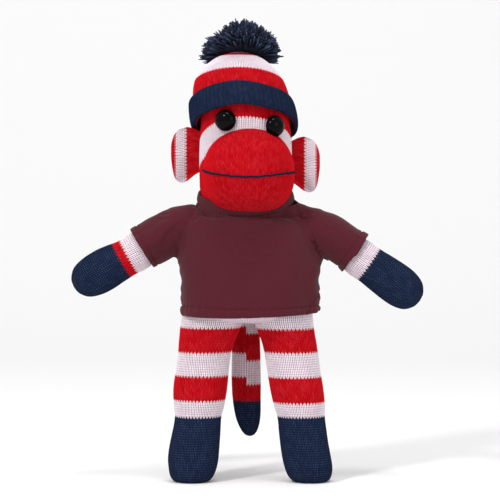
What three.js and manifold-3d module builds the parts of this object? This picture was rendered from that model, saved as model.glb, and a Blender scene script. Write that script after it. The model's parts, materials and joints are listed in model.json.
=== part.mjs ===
// A stuffed, knitted toy monkey that wears a T-shirt and a bobble hat.
// Millimetres, +Z up, the face looks along -Y. The origin is on the floor, under the middle of the toy.
// "left" and "right" are the toy's own, so its left side is at +X.
import * as THREE from 'three';
import { mergeVertices } from 'three/addons/utils/BufferGeometryUtils.js';
import Module from 'manifold-3d';

const wasm = await Module();
wasm.setup();

// ---- Driving dimensions ----
const COVER = 1.2; // thickness of the knitted cover
const CLOTH = 1.0; // thickness of the T-shirt's cloth
const GAP = 0.35; // air between pieces that touch
const SIDES = 16; // flats round a large turned piece
const LIMB_SIDES = 12; // flats round a limb
const THREAD = 0.5; // radius of the thread that gathers a seam

const HEAD = { x: -0.8, y: 5, z: 166, ball: 25 }; // the jaw is a ball, and the head turns about its centre
const HEAD_LEAN = 3.8; // how far the top of the head leans to the toy's right
const HEAD_LEAN_FROM = 19; // height above the ball's centre where the lean starts
const HEAD_TOP = 67.6; // top of the head above the ball's centre

const HAT = { top: 70.3, knit: 1.4, cuff: 3.0, tilt: 24 }; // the hat is worn tilted back
const CUFF_LOW = 27.4; // lower and upper edge of the cuff over the ball's centre
const CUFF_HIGH = 42.4;
const POMPOM = { radius: 21.0, height: 18.6, tilt: 17, dome: 22 };

const MUZZLE = { x: 0.9, y: -7.5, z: 170.3, half: 24.9, up: 25.5, down: 22.7, depth: 26.2, round: 2.3 };
const MUZZLE_BACK = 4; // how far the muzzle's sides run back beside the head
const COLLAR_ROOM = 28.9; // radius round the ball's centre that the muzzle's underside leaves to the collar
const YARN = 0.7; // radius of the mouth yarn
const MOUTH_SAG = 2.4; // how far the mouth line dips at its middle

const EYE = { radius: 5.4, room: 0.55, height: 4.9, shank: 1.3, length: 4.6, washer: 3.9, washerAt: -3.4 };
const EYES = [
  { side: 'right', x: -11.7, z: 197.6 },
  { side: 'left', x: 14.8, z: 194.5 },
];

const EARS = [
  { side: 'right', sign: -1, x: -29.4, z: 179.6 },
  { side: 'left', sign: 1, x: 27.6, z: 174.2 },
];
const EAR = { y: 6, reach: 12.2, half: 15.4, thick: 5.4, soft: 0.9 };

const TORSO = { x: 0.3, y: 3.6, bottom: 89.2, top: 139.4, deep: 0.7 };
const NECK_RING = { radius: 10.6, z: 141.6 };

const SHIRT = { hem: 91.6, top: 164, neck: 60, deep: 0.69, rounder: 0.33 };
const ARMHOLE = 13.6; // radius that the T-shirt's body leaves free round each shoulder
// The collar is an arc round the jaw, and its angles go up from straight below the ball.
const COLLAR = { radius: 27.6, low: 64.5, high: 76.5, thick: 1.6, tilt: 14, seam: 1.1 };

const ARMS = [
  { side: 'right', x: -32.3, z: 142.4, length: 72.2, down: 29.3, sleeve: 26 },
  { side: 'left', x: 32.6, z: 143.5, length: 76.4, down: 35.2, sleeve: 29 },
];
// An arm can be lowered and swung forward by these many degrees.
const ARM = { ball: 10.2, hand: 11.3, rim: 5.6, lowers: 16, swings: 45 };
const SLEEVE = { root: 12.5, hem: 12.9, start: 2 };

const LEGS = [
  { side: 'right', x: -23.4, lean: 0.1 },
  { side: 'left', x: 24.0, lean: 0.15 },
];
const LEG = {
  y: 3.5, pivot: 73, ball: 14.4, knee: 14.1, ankle: 13.4, toe: 13.2, sole: 11, rim: 8.4,
  forward: 2, longer: 0.13, // the foot reaches forward, and is this much longer than it is wide
};

const TAIL = { x: -0.5, y: 27.2, z: 79.6, ball: 8, length: 55, rim: 4.4 };

// ---- Materials ----
const knit = (color) => new THREE.MeshStandardMaterial({ color, roughness: 0.9, metalness: 0 });
const whiteKnit = knit(0xe6d8e2);
const redKnit = knit(0xc3141f);
const navyKnit = knit(0x1b2c50);
const navyYarn = knit(0x171d36);
const maroonCloth = knit(0x622833);
const stuffing = knit(0xf2efe9);
const thread = knit(0xdcd4da);
const blackGloss = new THREE.MeshStandardMaterial({ color: 0x0b0a0b, roughness: 0.12, metalness: 0 });
const clearPlastic = new THREE.MeshStandardMaterial({ color: 0xd9d9d4, roughness: 0.4, metalness: 0 });

// ---- Profiles: lists of [radius, height] that run upwards ----

// A smooth line through a few points.
function smooth(points, steps) {
  const curve = new THREE.SplineCurve(points.map(([r, z]) => new THREE.Vector2(r, z)));
  return curve.getPoints(steps).map((p) => [Math.max(p.x, 0), p.y]);
}

// The same profile, moved in by a distance; a point on the axis stays on it.
function inset(profile, distance) {
  const last = profile.length - 1;
  return profile.map(([r, z], i) => {
    const [r0, z0] = profile[Math.max(i - 1, 0)];
    const [r1, z1] = profile[Math.min(i + 1, last)];
    const length = Math.hypot(r1 - r0, z1 - z0);
    if (r < 1e-6) return [0, z + (i === 0 ? distance : -distance)];
    const rim = i === 0 || i === last;
    const dz = rim ? 0 : (distance * (r1 - r0)) / length;
    return [Math.max(r - (distance * (z1 - z0)) / length, 0.05), z + dz];
  });
}

// An arc of a ball about [0, z], from one angle to another, counted from straight down.
function arc(radius, z, from, to, steps) {
  const angles = Array.from({ length: steps + 1 }, (_, i) => from + ((to - from) * i) / steps);
  return angles.map((a) => {
    const t = THREE.MathUtils.degToRad(a);
    return [radius * Math.sin(t), z - radius * Math.cos(t)];
  });
}

// The cover is the profile and its inset joined at the rim, and the filling is what it holds.
function coverProfile(profile, thickness = COVER) {
  const inner = inset(profile, thickness);
  const opensUp = profile[0][0] < 1e-6;
  return opensUp ? [...profile, ...inner.reverse()] : [...inner.reverse(), ...profile];
}

function fillingProfile(profile) {
  const inner = inset(profile, COVER + GAP);
  const opensUp = profile[0][0] < 1e-6;
  return opensUp ? [...inner, [0, inner.at(-1)[1]]] : [[0, inner[0][1]], ...inner];
}

// A tube's wall: the profile out and back, closed on itself.
function tubeProfile(profile, thickness) {
  return [...profile, ...inset(profile, thickness).reverse(), profile[0]];
}

// ---- Solids ----

// Turns a geometry inside out if its faces point in.
function facingOut(geometry) {
  const p = geometry.attributes.position;
  const index = geometry.index.array;
  const [a, b, c] = [new THREE.Vector3(), new THREE.Vector3(), new THREE.Vector3()];
  let volume = 0;
  for (let i = 0; i < index.length; i += 3) {
    a.fromBufferAttribute(p, index[i]);
    b.fromBufferAttribute(p, index[i + 1]);
    c.fromBufferAttribute(p, index[i + 2]);
    volume += a.dot(b.cross(c));
  }
  if (volume < 0) {
    for (let i = 0; i < index.length; i += 3) {
      [index[i], index[i + 1]] = [index[i + 1], index[i]];
    }
  }
  return geometry;
}

// Spins a profile round Z, then lets move(x, y, z) carry each point to its place.
function spin(profile, move = (x, y, z) => [x, y, z], sides = SIDES) {
  const points = profile.map(([r, z]) => new THREE.Vector2(r, z));
  const geometry = new THREE.LatheGeometry(points, sides);
  geometry.rotateX(Math.PI / 2);
  geometry.deleteAttribute('normal');
  geometry.deleteAttribute('uv');
  const p = geometry.attributes.position;
  for (let i = 0; i < p.count; i += 1) {
    p.setXYZ(i, ...move(p.getX(i), p.getY(i), p.getZ(i)));
  }
  return facingOut(withoutSlivers(mergeVertices(geometry, 1e-4)));
}

// Drops the triangles that merging has closed up, at the poles.
function withoutSlivers(geometry) {
  const old = geometry.index.array;
  const kept = [];
  for (let i = 0; i < old.length; i += 3) {
    const [a, b, c] = [old[i], old[i + 1], old[i + 2]];
    if (a !== b && b !== c && c !== a) kept.push(a, b, c);
  }
  geometry.setIndex(kept);
  return geometry;
}

function solid(geometry) {
  const bare = geometry.clone();
  for (const name of Object.keys(bare.attributes)) {
    if (name !== 'position') bare.deleteAttribute(name);
  }
  const merged = withoutSlivers(mergeVertices(bare, 1e-4));
  const vertProperties = new Float32Array(merged.attributes.position.array);
  const triVerts = new Uint32Array(merged.index.array);
  return new wasm.Manifold(new wasm.Mesh({ numProp: 3, vertProperties, triVerts }));
}

function fromSolid(manifold) {
  const { vertProperties, triVerts } = manifold.getMesh();
  const geometry = new THREE.BufferGeometry();
  geometry.setAttribute('position', new THREE.BufferAttribute(vertProperties, 3));
  geometry.setIndex(Array.from(triVerts));
  return withoutSlivers(mergeVertices(geometry, 1e-3));
}

// A box between two corners, for cutting.
function block(low, high) {
  const size = high.map((h, i) => h - low[i]);
  const box = new THREE.BoxGeometry(...size);
  box.translate(...low.map((l, i) => l + size[i] / 2));
  return box;
}

function ball(radius, at) {
  return new THREE.SphereGeometry(radius, 24, 16).rotateX(Math.PI / 2).translate(...at);
}

// A round thread that lies in a ring about Z.
function ring(radius, z, move, thickness = THREAD) {
  const section = arc(thickness, 0, 0, 360, 5).map(([r, h]) => [radius + r, z + h]);
  return spin(section, move, LIMB_SIDES);
}

// The thread that gathers a limb's open end lies on its ball, just outside the rim.
function seamRing(radius, rim, move) {
  const scale = (radius + GAP + THREAD) / radius;
  return ring(rim * scale, Math.sqrt(radius ** 2 - rim ** 2) * scale, move);
}

const radians = THREE.MathUtils.degToRad;
const toy = new THREE.Group();
toy.name = 'stuffed_monkey';

function add(name, geometry, material, parent = toy) {
  const mesh = new THREE.Mesh(geometry, material);
  mesh.name = name;
  parent.add(mesh);
  return mesh;
}

// A turn about X, then Y, then Z in degrees, and a move to x, y, z.
function placed(x, y, z, turnX = 0, turnY = 0, turnZ = 0) {
  const turn = new THREE.Euler(radians(turnX), radians(turnY), radians(turnZ), 'ZYX');
  return new THREE.Matrix4().makeRotationFromEuler(turn).setPosition(x, y, z);
}

function frameAt(...place) {
  const group = new THREE.Group();
  group.applyMatrix4(placed(...place));
  toy.add(group);
  return group;
}

// ---- Head ----

// The head stands on its ball and leans a little towards the top.
function onHead(x, y, z) {
  const rise = Math.max(0, (z - HEAD_LEAN_FROM) / (HEAD_TOP - HEAD_LEAN_FROM));
  return [HEAD.x + x - HEAD_LEAN * rise * rise, HEAD.y + y, HEAD.z + z];
}

const jaw = arc(HEAD.ball, 0, 23, 78, 4);
const skull = [
  [25, 0], [25.3, 12], [25, 22], [24.2, 31], [23.5, 41], [21, 52], [16.6, 59.5], [9.4, 65.4], [0, HEAD_TOP],
];
const headProfile = [...jaw, ...smooth(skull, 9)];
const headRoom = solid(spin([[0, jaw[0][1]], ...inset(headProfile, -GAP)], onHead));

// Where an eye's stem meets the head, and which way it points.
function eyeFrame({ x, z }) {
  const up = z - HEAD.z;
  const radius = 24.1 + GAP;
  const [middle] = onHead(0, 0, up);
  const side = Math.asin((x - middle) / (radius + 2));
  const y = HEAD.y - radius * Math.cos(side);
  return frameAt(middle + radius * Math.sin(side), y, z, 90, 0, THREE.MathUtils.radToDeg(side));
}

function addHead() {
  let cover = solid(spin(coverProfile(headProfile), onHead));
  let filling = solid(spin(fillingProfile(headProfile), onHead));
  const { radius, height, shank, length, washer, washerAt } = EYE;
  for (const eye of EYES) {
    const frame = eyeFrame(eye);
    const stem = new THREE.CylinderGeometry(shank + GAP, shank + GAP, 9, 12).rotateX(Math.PI / 2);
    const pocket = new THREE.CylinderGeometry(washer + GAP, washer + GAP, 9, 12).rotateX(Math.PI / 2);
    pocket.translate(0, 0, -3);
    cover = cover.subtract(solid(stem.applyMatrix4(frame.matrix)));
    filling = filling.subtract(solid(pocket.applyMatrix4(frame.matrix)));
    const dome = [[shank, 0.1], [radius - 0.3, 0.1], [radius, 0.9], [radius * 0.9, 2.6], [radius * 0.62, 4.1]];
    const profile = [[0, -length], [shank, -length], ...dome, [0, height]];
    add(`eye_${eye.side}`, spin(profile, undefined, 14), blackGloss, frame);
    const disc = [[shank + GAP, -0.6], [washer, -0.6], [washer, 0.4], [shank + GAP, 0.9], [shank + GAP, -0.6]];
    const lifted = disc.map(([r, z]) => [r, z + washerAt]);
    add(`eye_washer_${eye.side}`, spin(lifted, undefined, 10), clearPlastic, frame);
  }
  add('head_cover', fromSolid(cover), redKnit);
  add('head_stuffing', fromSolid(filling), stuffing);
  add('neck_thread', ring(NECK_RING.radius, NECK_RING.z - HEAD.z, onHead), thread);
}

// ---- Muzzle ----

// The muzzle's outline is an ellipse above the mouth and a squarer one below it.
function outline(angle, high, low) {
  const c = Math.abs(Math.cos(angle));
  const s = Math.abs(Math.sin(angle));
  const power = Math.sin(angle) > 0 ? 2 : 2.5;
  const height = Math.sin(angle) > 0 ? high : low;
  return 1 / ((c / MUZZLE.half) ** power + (s / height) ** power) ** (1 / power);
}

function muzzleSolid(shrink) {
  const profile = [[0, -shrink], [0.97, -shrink], [1, MUZZLE_BACK]];
  for (const t of [20, 42, 66]) {
    const c = Math.cos(radians(t)) ** (2 / MUZZLE.round);
    const s = Math.sin(radians(t)) ** (2 / MUZZLE.round);
    profile.push([c, MUZZLE_BACK + (MUZZLE.depth - shrink) * s]);
  }
  profile.push([0, MUZZLE_BACK + MUZZLE.depth - shrink]);
  const move = (x, y, z) => {
    const r = Math.hypot(x, y);
    const angle = Math.atan2(y, x);
    const reach = outline(angle, MUZZLE.up, MUZZLE.down) - shrink;
    const flat = [MUZZLE.x + r * reach * Math.cos(angle), MUZZLE.z + r * reach * Math.sin(angle)];
    return [flat[0], MUZZLE.y + MUZZLE_BACK - z, flat[1]];
  };
  return solid(spin(profile, move, 20));
}

// The muzzle stops at the head, at the collar below it and at the eyes above it.
function besideHead(manifold) {
  const low = HEAD.z - 4;
  const chin = solid(ball(COLLAR_ROOM, [HEAD.x, HEAD.y, HEAD.z]));
  const collarRoom = chin.intersect(solid(block([-60, -60, low - 60], [60, 60, low])));
  let left = manifold.subtract(headRoom).subtract(collarRoom);
  for (const eye of EYES) {
    left = left.subtract(solid(ball(EYE.radius + EYE.room, [eye.x, HEAD.y - 22, eye.z])));
  }
  return fromSolid(largest(left));
}

function addMuzzle() {
  const cover = muzzleSolid(0).subtract(muzzleSolid(COVER));
  add('muzzle_cover', besideHead(cover), redKnit);
  add('muzzle_stuffing', besideHead(muzzleSolid(COVER + GAP)), stuffing);

  const path = [];
  for (let t = 12; t <= 168; t += 13) {
    const c = Math.cos(radians(t));
    const s = Math.sin(radians(t));
    const x = (MUZZLE.half + YARN + GAP) * Math.sign(c) * Math.abs(c) ** (2 / MUZZLE.round);
    const y = (MUZZLE.depth + YARN + GAP) * s ** (2 / MUZZLE.round);
    path.push(new THREE.Vector3(MUZZLE.x + x, MUZZLE.y - y, MUZZLE.z - MOUTH_SAG * s * s));
  }
  const section = new THREE.Shape().absarc(0, 0, YARN, 0, Math.PI * 2);
  const extrudePath = new THREE.CatmullRomCurve3(path);
  const yarn = new THREE.ExtrudeGeometry(section, { steps: 22, curveSegments: 3, extrudePath });
  add('mouth_yarn', yarn, navyYarn);
}

// The biggest body of a cut solid: a cut can leave crumbs.
function largest(manifold) {
  return manifold.decompose().sort((a, b) => b.volume() - a.volume())[0];
}

// ---- Hat ----

const hatProfile = smooth([
  [27.0, 8], [27, 20], [26.3, 32], [26, 42], [25.4, 48],
  [23.9, 53.5], [20.4, 59.6], [12.6, 66.6], [0, HAT.top],
], 9);

// The space above a plane that rises towards the front.
function above(height) {
  const half = block([-60, -60, 0], [60, 60, 120]);
  half.rotateX(-radians(HAT.tilt)).translate(HEAD.x, HEAD.y, HEAD.z + height);
  return solid(half);
}

function addHat() {
  const crown = solid(spin([...inset(hatProfile, HAT.knit).reverse(), ...hatProfile], onHead));
  add('hat_crown', fromSolid(largest(crown.intersect(above(CUFF_LOW + 1)))), redKnit);

  const inner = spin([[0, 8], ...inset(hatProfile, -GAP)], onHead);
  const outer = spin([[0, 8], ...inset(hatProfile, -GAP - HAT.cuff)], onHead);
  const band = solid(outer).subtract(solid(inner)).intersect(above(CUFF_LOW));
  add('hat_cuff', fromSolid(largest(band.subtract(above(CUFF_HIGH)))), navyKnit);

  const tilt = radians(POMPOM.tilt);
  const y = HEAD.y + POMPOM.dome * Math.sin(tilt);
  const z = HEAD.z + HAT.top - POMPOM.dome * (1 - Math.cos(tilt));
  const frame = frameAt(HEAD.x - HEAD_LEAN, y, z, -POMPOM.tilt);
  add('pompom_tie', spin([[0, 0.4], [2.2, 0.4], [2.2, 1.6], [0, 1.6]], undefined, 12), navyYarn, frame);
  const { radius, height } = POMPOM;
  const tuft = [[radius * 0.9, -1.6], [radius, 1.5], [radius * 0.93, 7.4], [radius * 0.72, 13], [radius * 0.38, 17.3]];
  add('pompom', spin([[0, 2.4], [3, 2.2], ...tuft, [0, height]], undefined, SIDES), navyYarn, frame);
}

// ---- Ears ----

// A flat, stuffed knit loop: straight at its seam on the head, round outside, lower lobe drooping.
function addEar({ side, sign, x, z }) {
  const { reach, half, thick, soft, y } = EAR;
  const shape = new THREE.Shape();
  shape.moveTo(0, -half * 0.55);
  shape.lineTo(0, half * 0.66);
  shape.bezierCurveTo(reach * 0.4, half * 1.08, reach * 0.95, half * 0.92, reach, half * 0.3);
  shape.bezierCurveTo(reach, -half * 0.4, reach * 0.9, -half * 1.02, reach * 0.66, -half);
  shape.bezierCurveTo(reach * 0.4, -half * 0.98, reach * 0.25, -half * 0.7, 0, -half * 0.55);
  const options = { depth: thick - 2 * soft, bevelSize: soft, bevelThickness: soft, bevelOffset: -soft };
  const flat = new THREE.ExtrudeGeometry(shape, { ...options, bevelSegments: 1, curveSegments: 7 });
  flat.translate(0, 0, -thick / 2 + soft).rotateX(Math.PI / 2);
  const pad = facingOut(solidGeometry(flat, sign));
  add(`ear_${side}`, pad, redKnit, frameAt(x, y, z));
}

function solidGeometry(geometry, sign) {
  geometry.scale(sign, 1, 1);
  for (const name of ['normal', 'uv']) geometry.deleteAttribute(name);
  return mergeVertices(geometry, 1e-4);
}

// ---- Body ----

const onTorso = (x, y, z) => [TORSO.x + x, TORSO.y + y * TORSO.deep, z];

const torsoProfile = [
  [0, TORSO.bottom], [12, TORSO.bottom], [22, TORSO.bottom],
  ...smooth([
    [28.5, 89.6], [33.4, 95], [34, 106], [33, 116], [29.4, 124], [23, 131], [18.2, 136.4], [10.4, TORSO.top],
  ], 9),
];

function addTorso() {
  add('body_cover', spin(coverProfile(torsoProfile), onTorso), whiteKnit);
  add('body_stuffing', spin(fillingProfile(torsoProfile), onTorso), stuffing);
}

// ---- Arms and sleeves ----

// The limb hangs down local -Z from the shoulder ball, and its frame turns it out to the side.
function addArm({ side, x, z, length, down, sleeve }) {
  const sign = Math.sign(x);
  const frame = frameAt(x, TORSO.y, z, 0, -sign * (90 - down), 0);
  const { ball: radius, hand, rim } = ARM;
  const tip = length - hand;
  const palm = arc(hand, -tip, 0, 80, 4);
  const wrist = smooth([[hand, -tip + 5], [10.9, -tip + 17], [10.3, -tip + 27], [radius, -6]], 3);
  const limb = [...palm, ...wrist, ...arc(radius, 0, 90, 180 - THREE.MathUtils.radToDeg(Math.asin(rim / radius)), 4)];
  add(`arm_cover_${side}`, spin(coverProfile(limb), undefined, LIMB_SIDES), navyKnit, frame);
  add(`arm_stuffing_${side}`, spin(fillingProfile(limb), undefined, LIMB_SIDES), stuffing, frame);
  add(`shoulder_thread_${side}`, seamRing(radius, rim), thread, frame);

  const { root, hem, start } = SLEEVE;
  const outside = [[hem, -sleeve], [(hem + root) / 2, -sleeve / 2], [root, start]];
  const tube = tubeProfile(outside, CLOTH);
  add(`sleeve_${side}`, spin(tube, undefined, 14), maroonCloth, frame);
}

// ---- Legs ----

function addLeg({ side, x, lean }) {
  const sign = Math.sign(x);
  const { y, pivot, ball: radius, knee, ankle, toe, sole, forward, rim } = LEG;
  const onLeg = (px, py, pz) => {
    const below = Math.max(0, -pz);
    const reach = below / pivot;
    const longer = 1 + LEG.longer * reach ** 3;
    return [x + px + sign * lean * below, y + py * longer - forward * reach ** 3, pivot + pz];
  };
  const foot = [[0, -pivot], [sole * 0.6, -pivot], [sole, -pivot]];
  const shin = smooth([[toe * 0.97, 4 - pivot], [toe, 12 - pivot], [ankle, 28 - pivot], [knee, -26], [radius, -3]], 5);
  const hip = arc(radius, 0, 90, 180 - THREE.MathUtils.radToDeg(Math.asin(rim / radius)), 4);
  const limb = [...foot, ...shin, ...hip];
  add(`leg_cover_${side}`, spin(coverProfile(limb), onLeg, LIMB_SIDES), whiteKnit);
  add(`leg_stuffing_${side}`, spin(fillingProfile(limb), onLeg, LIMB_SIDES), stuffing);
  add(`hip_thread_${side}`, seamRing(radius, rim, onLeg), thread);
}

// ---- Tail ----

function addTail() {
  const { x, y, z, ball: radius, length, rim } = TAIL;
  const frame = frameAt(x, y, z);
  const tip = smooth([[0, -length], [4.6, 2.2 - length], [7.2, 8 - length], [8, 17 - length], [radius, -4]], 6);
  const top = arc(radius, 0, 90, 180 - THREE.MathUtils.radToDeg(Math.asin(rim / radius)), 4);
  const limb = [...tip, ...top];
  add('tail_cover', spin(coverProfile(limb), undefined, LIMB_SIDES), redKnit, frame);
  add('tail_stuffing', spin(fillingProfile(limb), undefined, LIMB_SIDES), stuffing, frame);
  add('tail_thread', seamRing(radius, rim), thread, frame);
}

// ---- T-shirt ----

function addShirt() {
  const onShirt = (x, y, z) => {
    const rise = Math.min((z - SHIRT.hem) / SHIRT.neck, 1);
    const middle = TORSO.y + (HEAD.y - TORSO.y) * rise;
    return [TORSO.x + (HEAD.x - TORSO.x) * rise ** 3 + x, middle + y * (SHIRT.deep + SHIRT.rounder * rise ** 3), z];
  };
  const profile = smooth([
    [38.6, SHIRT.hem], [38, 104], [36.4, 118], [33, 130], [29.2, 141], [26.9, 150], [26.4, SHIRT.top],
  ], 6);
  let body = solid(spin(tubeProfile(profile, CLOTH), onShirt, 24));
  for (const { x, z, down } of ARMS) {
    const sign = Math.sign(x);
    body = body.subtract(solid(ball(ARMHOLE, [x, TORSO.y, z])));
    for (const lowered of [0, ARM.lowers]) {
      for (const swung of [0, -ARM.swings]) {
        const cutter = new THREE.CylinderGeometry(ARMHOLE, ARMHOLE, 50, 18).rotateX(Math.PI / 2);
        cutter.translate(0, 0, -25).applyMatrix4(placed(x, TORSO.y, z, swung, -sign * (90 - down - lowered)));
        body = body.subtract(solid(cutter));
      }
    }
  }
  const { radius, low, high, thick, tilt } = COLLAR;
  const turn = new THREE.Matrix4().makeRotationX(radians(tilt));
  const onCollar = (x, y, z) => {
    const p = new THREE.Vector3(x, y, z).applyMatrix4(turn);
    return [HEAD.x + p.x, HEAD.y + p.y, HEAD.z + p.z];
  };
  const neckline = block([-60, -60, arc(radius, 0, low, low + 1, 1)[0][1] - COLLAR.seam], [60, 60, 60]);
  neckline.applyMatrix4(turn).translate(HEAD.x, HEAD.y, HEAD.z);
  body = body.subtract(solid(neckline));
  const seam = GAP / 2;
  const front = block([-60, -60, 80], [60, TORSO.y - seam, 170]);
  const back = block([-60, TORSO.y + seam, 80], [60, 60, 170]);
  add('shirt_front', fromSolid(largest(body.intersect(solid(front)))), maroonCloth);
  add('shirt_back', fromSolid(largest(body.intersect(solid(back)))), maroonCloth);

  const rib = arc(radius, 0, low, high, 2);
  add('shirt_collar', spin(tubeProfile(rib, thick), onCollar, 20), maroonCloth);
}

addHead();
addMuzzle();
addHat();
EARS.forEach(addEar);
addTorso();
addShirt();
ARMS.forEach(addArm);
LEGS.forEach(addLeg);
addTail();

export default toy;
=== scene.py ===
import json
import math

import bmesh
import bpy
import numpy as np
from mathutils import Matrix, Vector


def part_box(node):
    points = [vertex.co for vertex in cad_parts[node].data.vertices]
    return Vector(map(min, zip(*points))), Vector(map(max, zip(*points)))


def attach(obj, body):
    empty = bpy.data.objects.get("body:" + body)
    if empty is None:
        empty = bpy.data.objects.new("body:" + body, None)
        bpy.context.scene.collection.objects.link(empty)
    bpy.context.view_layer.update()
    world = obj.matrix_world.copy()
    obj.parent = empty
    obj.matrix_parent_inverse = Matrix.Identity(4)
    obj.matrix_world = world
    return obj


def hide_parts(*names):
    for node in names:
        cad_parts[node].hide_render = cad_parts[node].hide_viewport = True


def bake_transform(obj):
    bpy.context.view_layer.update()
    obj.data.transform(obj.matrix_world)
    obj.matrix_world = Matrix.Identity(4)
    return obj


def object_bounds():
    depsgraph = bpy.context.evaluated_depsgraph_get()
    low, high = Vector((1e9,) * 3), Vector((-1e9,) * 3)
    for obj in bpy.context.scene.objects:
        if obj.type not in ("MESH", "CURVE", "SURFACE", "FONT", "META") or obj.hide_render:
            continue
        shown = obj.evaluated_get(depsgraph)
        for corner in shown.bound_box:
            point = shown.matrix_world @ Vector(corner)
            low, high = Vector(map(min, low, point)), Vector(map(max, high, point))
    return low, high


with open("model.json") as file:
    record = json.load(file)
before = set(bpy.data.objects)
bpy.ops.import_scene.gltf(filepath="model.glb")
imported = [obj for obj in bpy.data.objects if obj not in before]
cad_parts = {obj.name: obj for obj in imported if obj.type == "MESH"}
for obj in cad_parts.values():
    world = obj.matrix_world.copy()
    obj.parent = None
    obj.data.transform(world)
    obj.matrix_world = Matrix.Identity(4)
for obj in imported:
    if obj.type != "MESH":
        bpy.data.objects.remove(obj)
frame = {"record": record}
cad_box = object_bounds()

MM = 0.001
SIDES = ("right", "left")
SIGN = {"right": -1, "left": 1}
FORWARD = np.array([0, -1, 0])

# ---- Driving dimensions ----
WALE = 2.0  # width of one column of stitches
COURSE = 1.3  # height of one row of stitches
FINE = 0.78  # the muzzle is knitted this much finer
RIBBED = 0.72  # and the cuff this much
CELLS = (6, 4)  # mesh cells across and along one stitch
FEW_CELLS = (4, 3)  # the same where the stitches are fine
HIDDEN_CELLS = (2, 2)  # and where the shirt covers them
SLANT = 1.5  # how far the two legs of a stitch lean, in rows
RELIEF = 0.5  # depth of the grooves between the stitches

TILT = 24  # degrees by which the hat's rows rise towards the front
BROW = 29  # and the head's rows
HEAD_LEAN = 3.8  # how far the top of the head leans to the toy's right
HEAD_LEAN_FROM = 19  # height over the jaw's centre where that lean starts
HEAD_TOP = 67.6


JOINTS = {j["name"]: j for j in frame["record"]["behaviour"]["joints"]}


def joint(name):
    """The place of a joint in millimetres."""
    return np.array(JOINTS[name]["pos_m"]) / MM


HEAD = joint("head_turn")
TORSO = np.array([0.3, joint("arm_raise_right")[1], 0])


# ---- Numbers ----
def smoothstep(low, high, x):
    t = np.clip((x - low) / (high - low), 0, 1)
    return t * t * (3 - 2 * t)


def unit(v):
    length = np.linalg.norm(v, axis=-1, keepdims=True)
    return v / np.maximum(length, 1e-9)


def lumps(points, size, seed, waves=7):
    """Soft noise from -1 to 1 in space, with bumps of about one size."""
    rng = np.random.default_rng(seed)
    total = np.zeros(points.shape[:-1])
    for _ in range(waves):
        way = unit(rng.normal(size=3)) * rng.uniform(0.7, 1.4) * 2 * math.pi / size
        total += np.sin(points @ way + rng.uniform(0, 2 * math.pi))
    return total / waves * 1.6


class Profile:
    """A smooth line through a few points, walked evenly from 0 to 1."""

    def __init__(self, points):
        p = np.array(points, float)
        padded = np.vstack([2 * p[0] - p[1], p, 2 * p[-1] - p[-2]])
        t = np.linspace(0, 1, 16, endpoint=False)[:, None]
        pieces = []
        for a, b, c, d in zip(padded, padded[1:], padded[2:], padded[3:]):
            bend = 2 * b + (c - a) * t + (2 * a - 5 * b + 4 * c - d) * t**2
            pieces.append((bend + (3 * b - a - 3 * c + d) * t**3) / 2)
        self.line = np.vstack([*pieces, p[-1:]])
        steps = np.linalg.norm(np.diff(self.line, axis=0), axis=1)
        self.walked = np.concatenate([[0], np.cumsum(steps)])
        self.length = self.walked[-1]

    def at(self, v):
        d = np.asarray(v) * self.length
        return [np.interp(d, self.walked, self.line[:, k]) for k in range(self.line.shape[1])]

    def where(self, height):
        """How far along, from 0 to 1, the line first reaches a height."""
        i = int(np.argmax(self.line[:, 1] >= height))
        return self.walked[i] / self.length


# ---- Materials ----
COLOURS = {
    "white": (0.84, 0.76, 0.82),
    "red": (0.625, 0.0010, 0.0075),
    "navy": (0.0044, 0.0112, 0.038),
}
# Painted shade: the colours of the grooves between the stitches' legs and of the places where rows cross.
GROOVE_SHADE = {
    "white": (0.47, 0.33, 0.40),
    "red": (0.17, 0.0, 0.001),
    "navy": (0.0008, 0.0020, 0.008),
}
# Painted shade in the small holes between four stitches; on navy these are lighter than the yarn.
HOLE_SHADE = {
    "white": (0.10, 0.012, 0.03),
    "red": (0.07, 0.0, 0.001),
    "navy": (0.022, 0.034, 0.070),
}
SPECKS = {
    "white": (0.42, 0.14, 0.20),
    "red": (0.60, 0.24, 0.29),
    "navy": (0.18, 0.23, 0.35),
}


class Nodes:
    """Short ways to add shader nodes to one material."""

    def __init__(self, name):
        self.material = bpy.data.materials.new(name)
        self.material.use_nodes = True
        self.tree = self.material.node_tree
        self.shader = self.tree.nodes["Principled BSDF"]

    def add(self, kind, **settings):
        node = self.tree.nodes.new(kind)
        for key, value in settings.items():
            setattr(node, key, value)
        return node

    def feed(self, socket, value):
        if isinstance(value, bpy.types.NodeSocket):
            self.tree.links.new(value, socket)
        else:
            socket.default_value = value

    def math(self, operation, a, b=0.0, c=0.0):
        node = self.add("ShaderNodeMath", operation=operation)
        for socket, value in zip(node.inputs, (a, b, c)):
            self.feed(socket, value)
        return node.outputs[0]

    def mix(self, factor, a, b):
        node = self.add("ShaderNodeMix", data_type="RGBA")
        self.feed(node.inputs["Factor"], factor)
        self.feed(node.inputs[6], (*a, 1) if isinstance(a, tuple) else a)
        self.feed(node.inputs[7], (*b, 1) if isinstance(b, tuple) else b)
        return node.outputs[2]

    def noise(self, coordinates, scale, detail=2.0):
        node = self.add("ShaderNodeTexNoise")
        self.feed(node.inputs["Vector"], coordinates)
        node.inputs["Scale"].default_value = scale
        node.inputs["Detail"].default_value = detail
        return node.outputs["Fac"]

    def bump(self, height, distance, strength=1.0):
        node = self.add("ShaderNodeBump")
        node.inputs["Strength"].default_value = strength
        node.inputs["Distance"].default_value = distance * MM
        self.feed(node.inputs["Height"], height)
        self.feed(self.shader.inputs["Normal"], node.outputs[0])

    def set(self, **values):
        for key, value in values.items():
            self.feed(self.shader.inputs[key.replace("_", " ")], value)
        return self.material


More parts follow.
